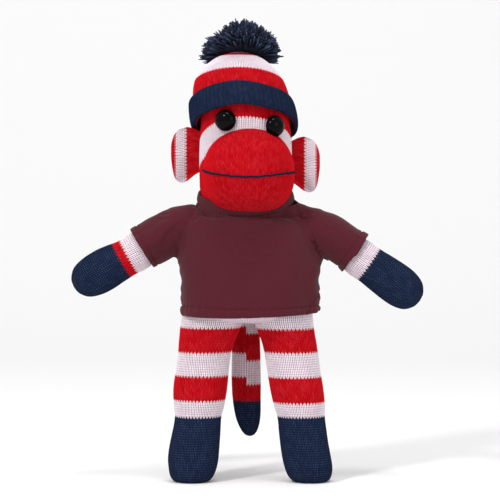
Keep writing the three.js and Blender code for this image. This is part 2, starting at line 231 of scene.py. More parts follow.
def knit_material(name, bands, courses, seed=0):
    """Stockinette. The map "knit" counts stitches across and rows along; bands are (row, colour)."""
    n = Nodes(name)
    uv = n.add("ShaderNodeUVMap", uv_map="knit").outputs[0]
    split = n.add("ShaderNodeSeparateXYZ")
    n.feed(split.inputs[0], uv)
    across, along = split.outputs[0], split.outputs[1]
    # 0 at the middle of a stitch and 1 at its sides, and the rows lean with its two legs.
    side = n.math("ABSOLUTE", n.math("MULTIPLY_ADD", n.math("FRACT", across), 2.0, -1.0))
    row = n.math("MULTIPLY_ADD", side, SLANT, along)
    ramp, groove_shade_ramp, hole_shade_ramp, dots = (n.add("ShaderNodeValToRGB") for _ in range(4))
    for node, colours in ((ramp, COLOURS), (groove_shade_ramp, GROOVE_SHADE), (hole_shade_ramp, HOLE_SHADE), (dots, SPECKS)):
        node.color_ramp.interpolation = "CONSTANT"
        n.feed(node.inputs[0], n.math("DIVIDE", row, float(courses)))
        stops = node.color_ramp.elements
        stops.remove(stops[1])
        for i, (start, colour) in enumerate(bands):
            stop = stops[0] if i == 0 else stops.new(min(max(start / courses, 0), 1))
            stop.position = min(max(start / courses, 0), 1)
            stop.color = (*colours[colour], 1)
    # A leg of a stitch is a plump strand, with painted shade in the groove beside it and where the next one
    # starts.
    gap = n.math("ABSOLUTE", n.math("MULTIPLY_ADD", side, 2.0, -1.0))
    turn = n.math("ABSOLUTE", n.math("MULTIPLY_ADD", n.math("FRACT", row), 2.0, -1.0))
    groove = n.math("POWER", gap, 2.2)
    crossing = n.math("POWER", turn, 4.0)
    groove_shade_mask = n.math("MAXIMUM", n.math("MULTIPLY", groove, n.math("MULTIPLY_ADD", side, 0.5, 0.45)),
                  n.math("MULTIPLY", crossing, 0.45))
    cell = n.add("ShaderNodeCombineXYZ")
    n.feed(cell.inputs[0], n.math("FLOOR", across))
    n.feed(cell.inputs[1], n.math("FLOOR", row))
    cell.inputs[2].default_value = float(seed)
    stitch = n.add("ShaderNodeTexWhiteNoise", noise_dimensions="3D")
    n.feed(stitch.inputs[0], cell.outputs[0])
    body = n.mix(groove_shade_mask, ramp.outputs[0], groove_shade_ramp.outputs[0])
    # Between four stitches is a small hole, painted darker as shade on white and red and painted lighter on
    # navy, and through some of them a lighter thread shows.
    hole_shade_mask = n.math("MULTIPLY", n.math("POWER", gap, 2.0), n.math("POWER", turn, 2.0))
    hole_shade_mask = n.math("MINIMUM", n.math("MULTIPLY", hole_shade_mask, 2.8), 1.0)
    body = n.mix(hole_shade_mask, body, hole_shade_ramp.outputs[0])
    chance = n.math("POWER", stitch.outputs[0], 2.0)
    inner = n.math("MULTIPLY", n.math("POWER", gap, 4.0), n.math("POWER", turn, 3.0))
    body = n.mix(n.math("MULTIPLY", inner, chance), body, dots.outputs[0])
    scaled = n.add("ShaderNodeVectorMath", operation="MULTIPLY")
    n.feed(scaled.inputs[0], uv)
    scaled.inputs[1].default_value = (1.0, 0.8, 1.0)
    fibre = n.noise(scaled.outputs[0], 7.5, 3.0)
    cloud = n.noise(scaled.outputs[0], 0.11, 2.0)
    shade = n.math("ADD", n.math("MULTIPLY", stitch.outputs[0], 0.14),
                   n.math("ADD", n.math("MULTIPLY", fibre, 0.16), n.math("MULTIPLY", cloud, 0.16)))
    value = n.add("ShaderNodeHueSaturation")
    n.feed(value.inputs["Value"], n.math("ADD", shade, 0.81))
    n.feed(value.inputs["Color"], body)
    strand = n.math("SUBTRACT", 1.0, n.math("MAXIMUM", groove, n.math("MULTIPLY", crossing, 0.7)))
    n.bump(n.math("MULTIPLY_ADD", fibre, 0.35, strand), 0.16, 0.8)
    return n.set(Base_Color=value.outputs[0], Roughness=0.9, Sheen_Weight=0.02, Sheen_Roughness=0.5,
                 Specular_IOR_Level=0.04)


# ---- Knitted surfaces ----
def relief(across, along):
    """Height of a stitch, 0 to 1, at a place counted in stitches across and rows along."""
    side = np.abs(2 * np.mod(across, 1) - 1)
    hump = np.sin(math.pi * side)
    plump = np.where(side < 0.5, 0.35 + 0.65 * hump, hump)
    turn = np.abs(2 * np.mod(along + SLANT * side, 1) - 1)
    return plump * (1 - 0.3 * turn**2.5)


def mesh_object(name, points, faces, uvs=None, normals=None, material=None):
    """A smooth mesh from points in millimetres. uvs holds two numbers for each corner of each face."""
    mesh = bpy.data.meshes.new(name)
    mesh.from_pydata((np.asarray(points) * MM).tolist(), [], [tuple(f) for f in faces])
    mesh.polygons.foreach_set("use_smooth", [True] * len(mesh.polygons))
    if uvs is not None:
        layer = mesh.uv_layers.new(name="knit")
        layer.data.foreach_set("uv", np.asarray(uvs, np.float32).ravel())
    if normals is not None:
        mesh.normals_split_custom_set_from_vertices([tuple(v) for v in normals])
    if material:
        mesh.materials.append(material)
    made = bpy.data.objects.new(name, mesh)
    bpy.context.scene.collection.objects.link(made)
    return made


def area_normals(points, faces):
    normals = np.zeros_like(points)
    quads = points[faces]
    face = np.cross(quads[:, 2] - quads[:, 0], quads[:, 3] - quads[:, 1])
    for k in range(4):
        np.add.at(normals, faces[:, k], face)
    return unit(normals)


def knit(pieces, surface, wales, courses, material, closed=True, depth=RELIEF, wale=WALE, shift=None,
         keep=None, cap=(), cells=CELLS):
    """Knits a grid of stitches on a surface and cuts it along its rows into named pieces.

    surface(u, v) gives points for arrays that run from 0 to 1. pieces are (name, first row, last row).
    shift(u, v) moves the colours by some rows, keep(u, v) says which cells are made, and cap lists the
    ends, "start" or "end", that are closed by a face.
    """
    cross, climb = cells
    nu, nv = wales * cross, courses * climb
    columns = nu if closed else nu + 1
    u, v = np.meshgrid(np.arange(columns) / nu, np.arange(nv + 1) / nv)
    points = surface(u, v)
    if closed:
        du = (np.roll(points, -1, 1) - np.roll(points, 1, 1)) / 2
    else:
        du = np.gradient(points, axis=1)
    dv = np.gradient(points, axis=0)
    out = unit(np.cross(du, dv))
    pitch = np.linalg.norm(du, axis=-1) * cross
    height = (relief(u * wales, v * courses) - 0.6) * depth * np.clip(pitch / wale, 0, 1)
    points = points + out * height[..., None]

    i, j = np.meshgrid(np.arange(nv), np.arange(nu), indexing="ij")
    if keep is not None:
        kept = keep((j + 0.5) / nu, (i + 0.5) / nv)
        i, j = i[kept], j[kept]
    i, j = i.ravel(), j.ravel()
    right = (j + 1) % columns if closed else j + 1
    faces = np.stack([i * columns + j, i * columns + right, (i + 1) * columns + right,
                      (i + 1) * columns + j], axis=1)
    across = np.stack([j, j + 1, j + 1, j], axis=1) / cross
    along = np.stack([i, i, i + 1, i + 1], axis=1) / climb
    if shift is not None:
        along = along + shift((j + 0.5) / nu, (i + 0.5) / nv)[:, None]
    flat = points.reshape(-1, 3)
    normals = area_normals(flat, faces)
    made = []
    for name, first, last in pieces:
        inside = (i >= first * climb) & (i < last * climb)
        used, index = np.unique(faces[inside], return_inverse=True)
        quads = index.reshape(-1, 4).tolist()
        uvs = np.stack([across[inside], along[inside]], axis=-1).reshape(-1, 2)
        extra = []
        for end, row in (("start", 0), ("end", nv)):
            ring = np.searchsorted(used, row * columns + np.arange(columns))
            if end in cap and ((row == 0 and first == 0) or (row and last == courses)):
                extra.append(ring[::-1].tolist() if row == 0 else ring.tolist())
                uvs = np.vstack([uvs, np.tile([0.25, row / climb], (columns, 1))])
        made.append(mesh_object(name, flat[used], quads + extra, uvs, normals[used], material))
    return made


def tube(profile, place):
    """A surface of rings: the profile gives radius and height, place(angle, radius, height) the points."""
    return lambda u, v: place(u * 2 * math.pi, *profile.at(v))


def rows(length, course=COURSE):
    return max(3, round(length / course))


def bands_from(profile, heights, courses):
    """Colour bands by row from (height where it starts, colour) along a profile that runs upwards."""
    return [(profile.where(h) * courses if k else 0, colour) for k, (h, colour) in enumerate(heights)]


def pad(piece, slot, fill, *nodes):
    """Hides the CAD nodes that a stuffed piece stands for. The piece, its slot and how full it is are not
    used.
    """
    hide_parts(*nodes)


# ---- Legs ----
LEG_PROFILE = [
    (0.4, 0.25), (6, 0.1), (9.6, 0.6), (12.0, 3.6), (13.3, 9.5), (13.5, 17), (13.2, 26), (12.8, 35.5),
    (13.7, 41), (14.5, 51), (14.3, 62), (14.5, 71), (15.3, 78.5), (16.4, 86), (16.4, 92), (15.0, 99),
]
LEG_BANDS = {
    "right": [(0, "navy"), (36.4, "white"), (45.2, "red"), (58.8, "white"), (72.0, "red"), (85.3, "white")],
    "left": [(0, "navy"), (36.8, "white"), (43.8, "red"), (58.0, "white"), (72.0, "red"), (85.0, "white")],
}


def leg(side):
    sign = SIGN[side]
    pivot = joint(f"hip_bend_{side}")
    foot = next(m for m in frame["record"]["mounts"] if m["name"] == f"sole_{side}")["pos_m"]
    lean = (foot[0] / MM - pivot[0]) / pivot[2]
    profile = Profile(LEG_PROFILE)

    def place(angle, r, h):
        below = np.maximum(0, pivot[2] - h)
        above = smoothstep(70, 92, h)
        reach = below / pivot[2]
        x = pivot[0] + lean * below - sign * (4.4 * above)
        y = pivot[1] - 2 * reach**3 + 1.0 * above
        depth = r * (1 + 0.13 * reach**3) * (1 + 0.16 * above)
        points = np.stack([x + r * np.sin(angle), y - depth * np.cos(angle), h], axis=-1)
        soft = lumps(points, 26, 11 + sign) * 0.55 * smoothstep(3, 14, h)
        away = np.stack([np.sin(angle), -np.cos(angle), 0 * h], axis=-1)
        return points + away * soft[..., None]

    wales = 45
    courses = rows(profile.length)
    bands = bands_from(profile, LEG_BANDS[side], courses)
    split = round(profile.where(pivot[2]) * courses)
    material = knit_material(f"leg_knit_{side}", bands, courses, seed=3 + sign)
    names = [(f"leg_knit_{side}", 0, split), (f"hip_knit_{side}", split, courses)]
    lower, upper = knit(names, tube(profile, place), wales, courses, material, cap=("start",))
    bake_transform(lower)
    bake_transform(upper)
    pad(lower, "striped_knit", 0.9, f"leg_cover_{side}", f"leg_stuffing_{side}")
    pad(upper, "striped_knit", 0.9, f"hip_thread_{side}")


# ---- Arms ----
ARM_BANDS = {
    "right": [(0, "navy"), (-41.2, "red"), (-37.2, "white")],
    "left": [(0, "navy"), (-41.0, "white"), (-31.2, "red"), (-20, "white")],
}
ARM_LENGTH = {"right": 72.2, "left": 76.4}
ARMPIT = {"right": 39.2, "left": 40.2}  # distance of each armpit from the middle plane
RING_AT = 4.0  # how far beyond the armpit the sleeve's root piece ends, and the plane farther out along the arm
ARM_AT = 13.0


def arm_frame(side):
    """Pivot, the way down the arm, and the way across it that looks up."""
    sign = SIGN[side]
    across = np.array(JOINTS[f"arm_swing_{side}"]["axis"])
    across = across if across[2] > 0 else -across
    down = np.array([sign * across[2], 0, -sign * across[0]])
    return joint(f"arm_raise_{side}"), down, across


def blend_planes(side):
    """Points on the planes where the cloth leaves the torso, where the sleeve's root piece ends, and farther
    out along the arm.
    """
    sign = SIGN[side]
    return [(sign * (ARMPIT[side] + d) * MM, 0, 0) for d in (0, RING_AT, ARM_AT)]


def arm(side):
    sign = SIGN[side]
    pivot, down, up = arm_frame(side)
    tip, hem = -ARM_LENGTH[side], -SLEEVE_LENGTH[side]
    profile = Profile([
        (0.4, tip), (4.6, tip + 1.1), (8.8, tip + 5.0), (11.0, tip + 11.5), (11.4, tip + 19),
        (10.9, tip + 27), (10.3, tip + 33.5), (10.4, hem - 0.5), (8.8, hem + 6), (7.6, hem + 12), (7.2, -12),
    ])

    def place(angle, r, h):
        axis_point = pivot + np.multiply.outer(-h, down)
        angle = sign * angle
        way = np.multiply.outer(np.cos(angle), FORWARD) + np.multiply.outer(np.sin(angle), up)
        soft = lumps(axis_point + way * 10, 22, 21 + sign) * 0.4 * smoothstep(1, 9, r)
        return axis_point + way * (r + soft)[..., None]

    courses = rows(profile.length)
    bands = bands_from(profile, ARM_BANDS[side], courses)
    material = knit_material(f"arm_knit_{side}", bands, courses, seed=7 + sign)
    name = f"arm_knit_{side}"
    [piece] = knit([(name, 0, courses)], tube(profile, place), 33, courses, material, cap=("start",))
    _, ring, outer = blend_planes(side)
    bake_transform(piece)
    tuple(ring)
    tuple(outer)
    pad(piece, "striped_knit", 0.9, f"arm_cover_{side}", f"arm_stuffing_{side}", f"shoulder_thread_{side}")


# ---- Tail ----
def tail():
    pivot = joint("tail_lift")
    profile = Profile([
        (0.3, -57.2), (2.7, -56.2), (5.0, -53), (6.9, -47.5), (7.8, -40), (8.1, -28), (8.0, -12), (7.6, 0),
        (7.0, 9), (6.6, 15),
    ])

    def place(angle, r, h):
        above = smoothstep(-3, 16, h)
        x = pivot[0] + r * np.sin(angle) + 1.9 * (1 - smoothstep(-58, -32, h))
        y = pivot[1] - r * np.cos(angle) - 9 * above**2
        points = np.stack([x, y, pivot[2] + h], axis=-1)
        return points + lumps(points, 24, 5)[..., None] * np.array([0.35, 0.35, 0])

    courses = rows(profile.length)
    heights = [(-60, "navy"), (-36.6, "red"), (-27.2, "white"), (-14.0, "red"), (0.8, "white")]
    bands = bands_from(profile, heights, courses)
    material = knit_material("tail_knit", bands, courses, seed=4)

    def shift(u, v):
        """The two halves of the tail are sewn with their stripes a few rows apart."""
        own_right = u > 0.5
        return np.where(own_right & (v * courses > bands[1][0] + 3.4), -3.3, 0.0)

    split = round(profile.where(0) * courses)
    names = [("tail_knit", 0, split), ("tail_root_knit", split, courses)]
    lower, upper = knit(names, tube(profile, place), 26, courses, material, shift=shift, cap=("start",))
    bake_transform(lower)
    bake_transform(upper)
    pad(lower, "striped_knit", 0.85, "tail_cover", "tail_stuffing")
    pad(upper, "striped_knit", 0.85, "tail_thread")


# ---- Body ----
def body():
    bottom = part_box("body_cover")[0][2] / MM
    profile = Profile([
        (0.5, bottom - 1.5), (14, bottom - 1.5), (26, bottom - 0.5), (33.0, bottom + 5), (34.4, bottom + 15),
        (33.4, bottom + 27), (29.6, 124), (23.4, 131), (18.4, 137), (11, 141),
    ])

    def place(angle, r, h):
        return np.stack([TORSO[0] + r * np.sin(angle), TORSO[1] - 0.7 * r * np.cos(angle), h], axis=-1)

    courses = rows(profile.length)
    bands = [(0, "white"), (28, "red"), (38, "white"), (48, "red")]
    material = knit_material("body_knit", bands, courses, seed=9)
    [piece] = knit([("body_knit", 0, courses)], tube(profile, place), 92, courses, material,
                   cap=("start", "end"), cells=HIDDEN_CELLS)
    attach(piece, "torso")
    pad(piece, "striped_knit", 0.9, "body_cover", "body_stuffing")


# ---- Head ----
def on_head(angle, r, h):
    """A ring of the hat, which leans as the head does."""
    x = HEAD[0] + r * np.sin(angle) - HEAD_LEAN * smoothstep(24, 60, h)
    return np.stack([x, HEAD[1] - r * np.cos(angle), HEAD[2] + h], axis=-1)


SKULL = Profile([
    (9.8, -23), (16.4, -19.2), (22.2, -12.8), (24.7, -6.2), (25.2, 0), (25.3, 12), (25, 22), (24.2, 31),
    (23.7, 38),
])


def skull_radius(z):
    """The head's radius at a height over the jaw's centre."""
    return np.interp(z, SKULL.line[:, 1], SKULL.line[:, 0])


def head():
    low, high = -22.5, 36.0

    def surface(u, v):
        angle = u * 2 * math.pi
        h = low + (high - low) * v
        slope = math.tan(math.radians(BROW)) * smoothstep(-22, -2, h)
        r = skull_radius(h)
        for _ in range(6):
            z = h + slope * r * np.cos(angle)
            r = skull_radius(np.clip(z, low, 38))
        points = np.stack([HEAD[0] + r * np.sin(angle), HEAD[1] - r * np.cos(angle), HEAD[2] + z], axis=-1)
        rise = np.maximum(0, (z - HEAD_LEAN_FROM) / (HEAD_TOP - HEAD_LEAN_FROM))
        points[..., 0] -= HEAD_LEAN * rise**2
        return points

    courses = rows((high - low) * 1.08)
    heights = [(-22.5, "red"), (6.5, "white"), (21.8, "red")]
    bands = [((h - low) / (high - low) * courses, colour) for h, colour in heights]
    material = knit_material("head_knit", bands, courses, seed=1)
    [piece] = knit([("head_knit", 0, courses)], surface, 78, courses, material, cap=("start", "end"))
    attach(piece, "head")
    pad(piece, "striped_knit", 0.95, "head_cover", "head_stuffing", "neck_thread", "eye_washer_right",
        "eye_washer_left")


# ---- Muzzle ----
MUZZLE = {"x": 0.9, "z": 170.3, "half": 24.9, "up": 25.5, "down": 22.7, "round": 2.3}


def muzzle_reach(angle):
    """How far the muzzle's rim is from its middle: an ellipse above, a squarer outline below."""
    c, s = np.abs(np.cos(angle)), np.abs(np.sin(angle))
    high = np.sin(angle) > 0
    power = np.where(high, 2.0, 2.5)
    tall = np.where(high, MUZZLE["up"], MUZZLE["down"])
    return 1 / ((c / MUZZLE["half"]) ** power + (s / tall) ** power) ** (1 / power)


def muzzle_point(p, q):
    """A point of the domed front for cloth coordinates, in millimetres from the middle of the dome."""
    front = HEAD[1] - 38.7
    depth = HEAD[1] - 12.5 - front
    angle = np.arctan2(q, p)
    far = np.hypot(p, q)
    reach = muzzle_reach(angle)
    t = np.linspace(0, math.pi / 2, 80)
    wide = np.sin(t) ** (2 / MUZZLE["round"])
    deep = np.cos(t) ** (2 / MUZZLE["round"])
    step = np.hypot(np.diff(wide) * 24.4, np.diff(deep) * depth)
    walked = np.concatenate([[0], np.cumsum(step)])
    whole = walked[-1] * reach / 24.4 * 0.5 + walked[-1] * 0.5
    share = np.clip(far / whole, 0, 1) * walked[-1]
    beyond = np.maximum(0, far - whole)
    rho = np.interp(share, walked, wide) * (1 - 0.012 * beyond - 0.004 * beyond**2)
    y = front + depth * (1 - np.interp(share, walked, deep)) + beyond * 0.95
    x = MUZZLE["x"] + rho * reach * np.cos(angle)
    z = MUZZLE["z"] + rho * reach * np.sin(angle)
    return np.stack([x, y, z], axis=-1), whole


def muzzle():
    half = 49.0  # half the width and the height of the cloth it is cut from
    wales = round(2 * half / (WALE * FINE))
    courses = round(2 * half / (COURSE * FINE))

    def surface(u, v):
        return muzzle_point((2 * u - 1) * half, (2 * v - 1) * half)[0]

    def keep(u, v):
        p, q = (2 * u - 1) * half, (2 * v - 1) * half
        return np.hypot(p, q) < muzzle_point(p, q)[1] + 8

    material = knit_material("muzzle_knit", [(0, "red")], courses, seed=2)
    [piece] = knit([("muzzle_knit", 0, courses)], surface, wales, courses, material, closed=False,
                   depth=RELIEF, wale=WALE * FINE, keep=keep, cells=FEW_CELLS)
    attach(piece, "head")
    pad(piece, "red_knit", 0.95, "muzzle_cover", "muzzle_stuffing")


def strand(name, path, radius, material, plies=2, twist=2.6, sides=8):
    """A yarn along a path of points in millimetres, spun from a few plies."""
    path = np.asarray(path, float)
    ahead = unit(np.gradient(path, axis=0))
    side = unit(np.cross(ahead, np.array([0.013, 0.27, 1.0])))
    up = np.cross(side, ahead)
    walked = np.concatenate([[0], np.cumsum(np.linalg.norm(np.diff(path, axis=0), axis=1))])
    ring = np.linspace(0, 2 * math.pi, sides, endpoint=False)
    points, faces = [], []
    ply = radius * 0.56
    offset = radius * 0.46
    for k in range(plies):
        turn = walked * 2 * math.pi / twist + k * 2 * math.pi / plies
        middle = path + offset * (np.cos(turn)[:, None] * side + np.sin(turn)[:, None] * up)
        first = sum(len(p) for p in points)
        loop = np.cos(ring)[None, :, None] * side[:, None] + np.sin(ring)[None, :, None] * up[:, None]
        points.append((middle[:, None] + ply * loop).reshape(-1, 3))
        for i in range(len(path) - 1):
            for j in range(sides):
                a, b = first + i * sides + j, first + i * sides + (j + 1) % sides
                faces.append((a, b, b + sides, a + sides))
        faces.append(tuple(first + j for j in range(sides))[::-1])
        faces.append(tuple(first + (len(path) - 1) * sides + j for j in range(sides)))
    return mesh_object(name, np.vstack(points), faces, material=material)


def yarn_material(name, colour, lift=1.8):
    n = Nodes(name)
    where = n.add("ShaderNodeTexCoord").outputs["Object"]
    fine = n.noise(where, 1900.0, 2.0)
    broad = n.noise(where, 160.0, 2.0)
    bright = tuple(min(1, c * lift + 0.004) for c in colour)
    body = n.mix(n.math("MULTIPLY", n.math("ADD", fine, broad), 0.55), colour, bright)
    n.bump(fine, 0.1, 0.7)
    return n.set(Base_Color=body, Roughness=0.85, Sheen_Weight=0.02, Sheen_Roughness=0.4,
                 Specular_IOR_Level=0.05)


def mouth():
    """The mouth is one line of yarn couched onto the muzzle."""
    lift = 0.25
    xs = np.linspace(-35.5, 35.5, 260)
    sag = 2.6 * (1 - (xs / 34) ** 2) - 0.3
    wobble = 0.14 * np.sin(xs * 0.9) + 0.06 * np.sin(xs * 2.3 + 1)
    rise = np.interp(xs, [-36, 0, 20, 36], [1.0, -0.2, 0.7, -0.6])
    path, _ = muzzle_point(xs, -sag + wobble + rise)
    path[:, 1] -= lift
    path[:, 0] = MUZZLE["x"] + (path[:, 0] - MUZZLE["x"]) * 1.008
    material = yarn_material("mouth_navy", (0.003, 0.008, 0.022))
    yarn = strand("mouth_yarn_twist", path, 0.7, material)
    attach(yarn, "head")
    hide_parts("mouth_yarn")


# ---- Eyes ----
def lathe(name, profile, place, material, sides=48):
    """Spins (radius, height) points, lets place() carry them, and closes the ends with one point each."""
    points, faces = [], []
    angles = np.linspace(0, 2 * math.pi, sides, endpoint=False)
    for r, h in profile:
        points += [(r * math.cos(a), r * math.sin(a), h) for a in angles]
    for i in range(len(profile) - 1):
        for j in range(sides):
            a, b = i * sides + j, i * sides + (j + 1) % sides
            faces.append((a, b, b + sides, a + sides))
    low, high = len(points), len(points) + 1
    points += [(0, 0, profile[0][1]), (0, 0, profile[-1][1])]
    last = (len(profile) - 1) * sides
    for j in range(sides):
        faces.append((low, (j + 1) % sides, j))
        faces.append((high, last + j, last + (j + 1) % sides))
    moved = np.array([place(Vector(p)) for p in points]) / MM
    return mesh_object(name, moved, faces, material=material)


def gloss_material():
    n = Nodes("eye_gloss")
    return n.set(Base_Color=(0.0015, 0.0015, 0.002, 1), Roughness=0.05, IOR=1.3, Specular_IOR_Level=0.16)


def eyes():
    material = gloss_material()
    for side in SIDES:
        low, high = (np.array(corner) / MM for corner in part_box(f"eye_{side}"))
        middle = (low + high) / 2
        out = Vector((middle[0] - HEAD[0] + 2.2, middle[1] - HEAD[1], 0)).normalized()
        turn = out.to_track_quat("Z", "Y").to_matrix().to_4x4()
        seat = Vector(middle) - out * 0.1 + Vector((0, 0, 0.7))
        place = Matrix.Translation(seat * MM) @ turn @ Matrix.Scale(MM, 4)
        dome = [(5.1, 0.15), (5.7, 0.3), (5.95, 0.8)]
        for t in range(6, 90, 6):
            a = math.radians(t)
            dome.append((5.95 * math.cos(a) ** 0.9, 0.8 + 4.7 * math.sin(a)))
        dome.append((0.2, 5.49))
        piece = lathe(f"eye_dome_{side}", dome, lambda p: place @ p, material)
        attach(piece, "head")
        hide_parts(f"eye_{side}")


# ---- Hat ----
HAT_TOP = 70.3
CUFF_LOW = 27.4
CROWN = Profile([
    (26.8, 29), (26.8, 38), (26.3, 46), (24.4, 53.5), (20.4, 59.8), (12.8, 66.4), (4, 69.9), (0.4, 70.3),
])


def crown():
    slope = math.tan(math.radians(TILT))

    def surface(u, v):
        """The rows start parallel to the cuff and turn level towards the crown's gathered top."""
        angle = u * 2 * math.pi
        r, h = CROWN.at(v)
        lift = slope * (1 - smoothstep(0.13, 1.0, v))
        z = h + lift * r * np.cos(angle)
        wide = np.interp(np.clip(z, 29, HAT_TOP), CROWN.line[:, 1], CROWN.line[:, 0])
        r = r * (1 - lift) + np.minimum(wide, r * 1.2) * lift
        return on_head(angle, r, z)

    courses = rows(CROWN.length)
    heights = [(0, "red"), (0.463, "white"), (0.825, "red"), (0.915, "white")]
    bands = [(h * courses, colour) for h, colour in heights]
    material = knit_material("hat_knit", bands, courses, seed=6)
    [piece] = knit([("hat_crown_knit", 0, courses)], surface, 74, courses, material, cap=("end",))
    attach(piece, "head")
    pad(piece, "striped_knit", 0.5, "hat_crown")


def cuff():
    """The turned-up cuff: a soft, flat loop of fine ribbed knit round the crown."""
    wales = 128
    slope = math.tan(math.radians(TILT))
    section = Profile([
        (0.0, 2.3), (0.8, 1.5), (2.1, 1.6), (2.8, 2.9), (3.0, 5.5), (2.9, 9.0), (2.6, 12.6), (2.0, 14.2),
        (1.2, 14.6), (0.4, 13.8), (0.1, 12), (-0.2, 6), (0.0, 2.3),
    ])

    def surface(u, v):
        angle = u * 2 * math.pi
        out, up = section.at(v)
        h = CUFF_LOW + up
        z = h + slope * 26.5 * np.cos(angle)
        r = np.interp(np.clip(z, 20, 70), CROWN.line[:, 1], CROWN.line[:, 0]) + out * 0.88
        r = r - 0.8 * (1 - smoothstep(14, 34, z))
        r = r + 0.2 * np.cos(angle * wales / 2) * smoothstep(1.2, 2.2, out)
        bulge = 0.35 * np.sin(3 * angle + 1) + 0.25 * np.sin(7 * angle)
        r = r + bulge * smoothstep(0, 2, out)
        return on_head(angle, r, z + 0.3 * np.sin(5 * angle + 2))

    courses = rows(section.length, COURSE * RIBBED)
    material = knit_material("cuff_knit", [(0, "navy")], courses, seed=8)
    [piece] = knit([("hat_cuff_knit", 0, courses)], surface, wales, courses, material, depth=RELIEF * 1.1,
                   wale=WALE * RIBBED, cells=FEW_CELLS)
    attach(piece, "head")
    pad(piece, "navy_knit", 0.5, "hat_cuff")


# ---- Pompom ----
def pompom_material():
    """The map "knit" holds a shade for each strand and how far out it is."""
    n = Nodes("pompom_navy")
    split = n.add("ShaderNodeSeparateXYZ")
    n.feed(split.inputs[0], n.add("ShaderNodeUVMap", uv_map="knit").outputs[0])
    where = n.add("ShaderNodeTexCoord").outputs["Object"]
    fine = n.noise(where, 1700.0, 2.0)
    # Painted shade and highlight: each strand is near-black at its root, deep in the tuft, and lighter
    # towards its tip, more so for lighter strands.
    outer = n.math("POWER", split.outputs[1], 3.0)
    root_shade_tip_light = n.math("MULTIPLY", outer, n.math("MULTIPLY_ADD", split.outputs[0], 1.0, 0.06))
    root_shade_tip_light = n.math("ADD", root_shade_tip_light, n.math("MULTIPLY", n.math("SUBTRACT", fine, 0.4), 0.35))
    body = n.mix(root_shade_tip_light, (0.0016, 0.0022, 0.0065), (0.055, 0.072, 0.15))
    n.bump(fine, 0.12, 0.8)
    return n.set(Base_Color=body, Roughness=0.8, Specular_IOR_Level=0.18)


def yarns(starts, tips, bend, thick, shade, span, rng, steps=5, sides=4):
    """Many strands at once: their points, their faces, and shade and distance for each corner."""
    count = len(starts)

    def mark(out):
        return np.stack([shade, np.full(count, out)], axis=1)

    way = unit(tips - starts)
    side = unit(np.cross(way, rng.normal(size=(count, 3))))
    up = np.cross(way, side)
    points = []
    for s in range(steps + 1):
        t = s / steps
        centre = starts + (tips - starts) * t + bend * (4 * t * (1 - t) * 0.6)
        wide = thick * (0.85 + 0.25 * t if s < steps else 0.7)
        for j in range(sides):
            a = 2 * math.pi * j / sides + t * 2
            points.append(centre + (math.cos(a) * side + math.sin(a) * up) * wide[:, None])
    points = np.stack(points, axis=1).reshape(-1, 3)
    first = np.arange(count) * (steps + 1) * sides
    faces, uvs = [], []
    for s in range(steps):
        low, high = (span[0] + (span[1] - span[0]) * (s + d) / steps for d in (0, 1))
        for j in range(sides):
            a, b = first + s * sides + j, first + s * sides + (j + 1) % sides
            faces.append(np.stack([a, b, b + sides, a + sides], axis=1))
            uvs.append(np.stack([mark(low), mark(low), mark(high), mark(high)], axis=1))
    end = first + steps * sides
    faces.append(np.stack([end + j for j in range(sides)], axis=1))
    uvs.append(np.stack([mark(span[1])] * sides, axis=1))
    return points, np.vstack(faces), np.vstack(uvs).reshape(-1, 2)


def pompom():
    pivot = joint("pompom_flop")
    lean = math.asin((pivot[1] - HEAD[1]) / 22)
    up = np.array([0, math.sin(lean), math.cos(lean)])
    middle = pivot + up * -1.0 + np.array([1.3, 0, 0])
    side = np.array([1.0, 0, 0])
    back = np.cross(up, side)
    root = middle + side * 3.0 - up * 1.0
    rng = np.random.default_rng(17)
    count = 1450
    k = np.arange(count) + 0.5
    tall = 1 - k / count * 1.12
    turn = k * math.pi * (3 - math.sqrt(5))
    flat = np.sqrt(np.clip(1 - tall**2, 0, 1))
    forward = -flat * np.sin(turn)
    shown = tall > 0.12 * forward + 0.06 * np.abs(forward) - 0.12
    way = (flat * np.cos(turn))[:, None] * side + (flat * np.sin(turn))[:, None] * back + tall[:, None] * up
    way = unit(way + rng.normal(size=way.shape) * 0.075)[shown]
    count = len(way)
    # The tuft has two lobes with a notch between them, up and to the toy's right.
    notch = np.exp(-((np.arccos(np.clip(way @ unit(np.array([-0.62, -0.1, 0.78])), -1, 1)) / 0.24) ** 2))
    long = np.array([20.6, 19.6, 18.6])
    reach = (1 - 0.34 * notch + 0.07 * lumps(way * 10, 9, 3) + rng.normal(size=count) * 0.045)[:, None]
    tips = middle + way * long * reach
    bend = unit(np.cross(way, rng.normal(size=(count, 3)))) * rng.uniform(0.3, 1.5, size=(count, 1))
    thick = rng.uniform(0.38, 0.58, size=count)
    shade = rng.uniform(0, 1, size=count) ** 2
    starts = root + (tips - root) * 0.3
    points, quads, uvs = yarns(starts, tips, bend, thick, shade, (0.3, 1.0), rng)
    material = pompom_material()
    tuft = mesh_object("pompom_yarn", points, quads.tolist(), uvs=uvs, material=material)

    core = []
    for t in range(4, 97, 7):
        a = math.radians(t)
        core.append((14.5 * math.sin(a), 13.5 * math.cos(a)))
    core.reverse()
    turn = Vector(tuple(up)).to_track_quat("Z", "Y").to_matrix().to_4x4()
    place = Matrix.Translation(Vector(tuple(middle)) * MM) @ turn @ Matrix.Scale(MM, 4)
    heart = lathe("pompom_heart", core, lambda p: place @ p, material, sides=32)
    for piece in (tuft, heart):
        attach(piece, "pompom")
    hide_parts("pompom")
    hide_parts("pompom_tie")


# ---- Ears ----
EAR_REACH, EAR_HALF = 12.4, 15.2
EAR_TUCK = 4.2  # how far the flap runs into the head


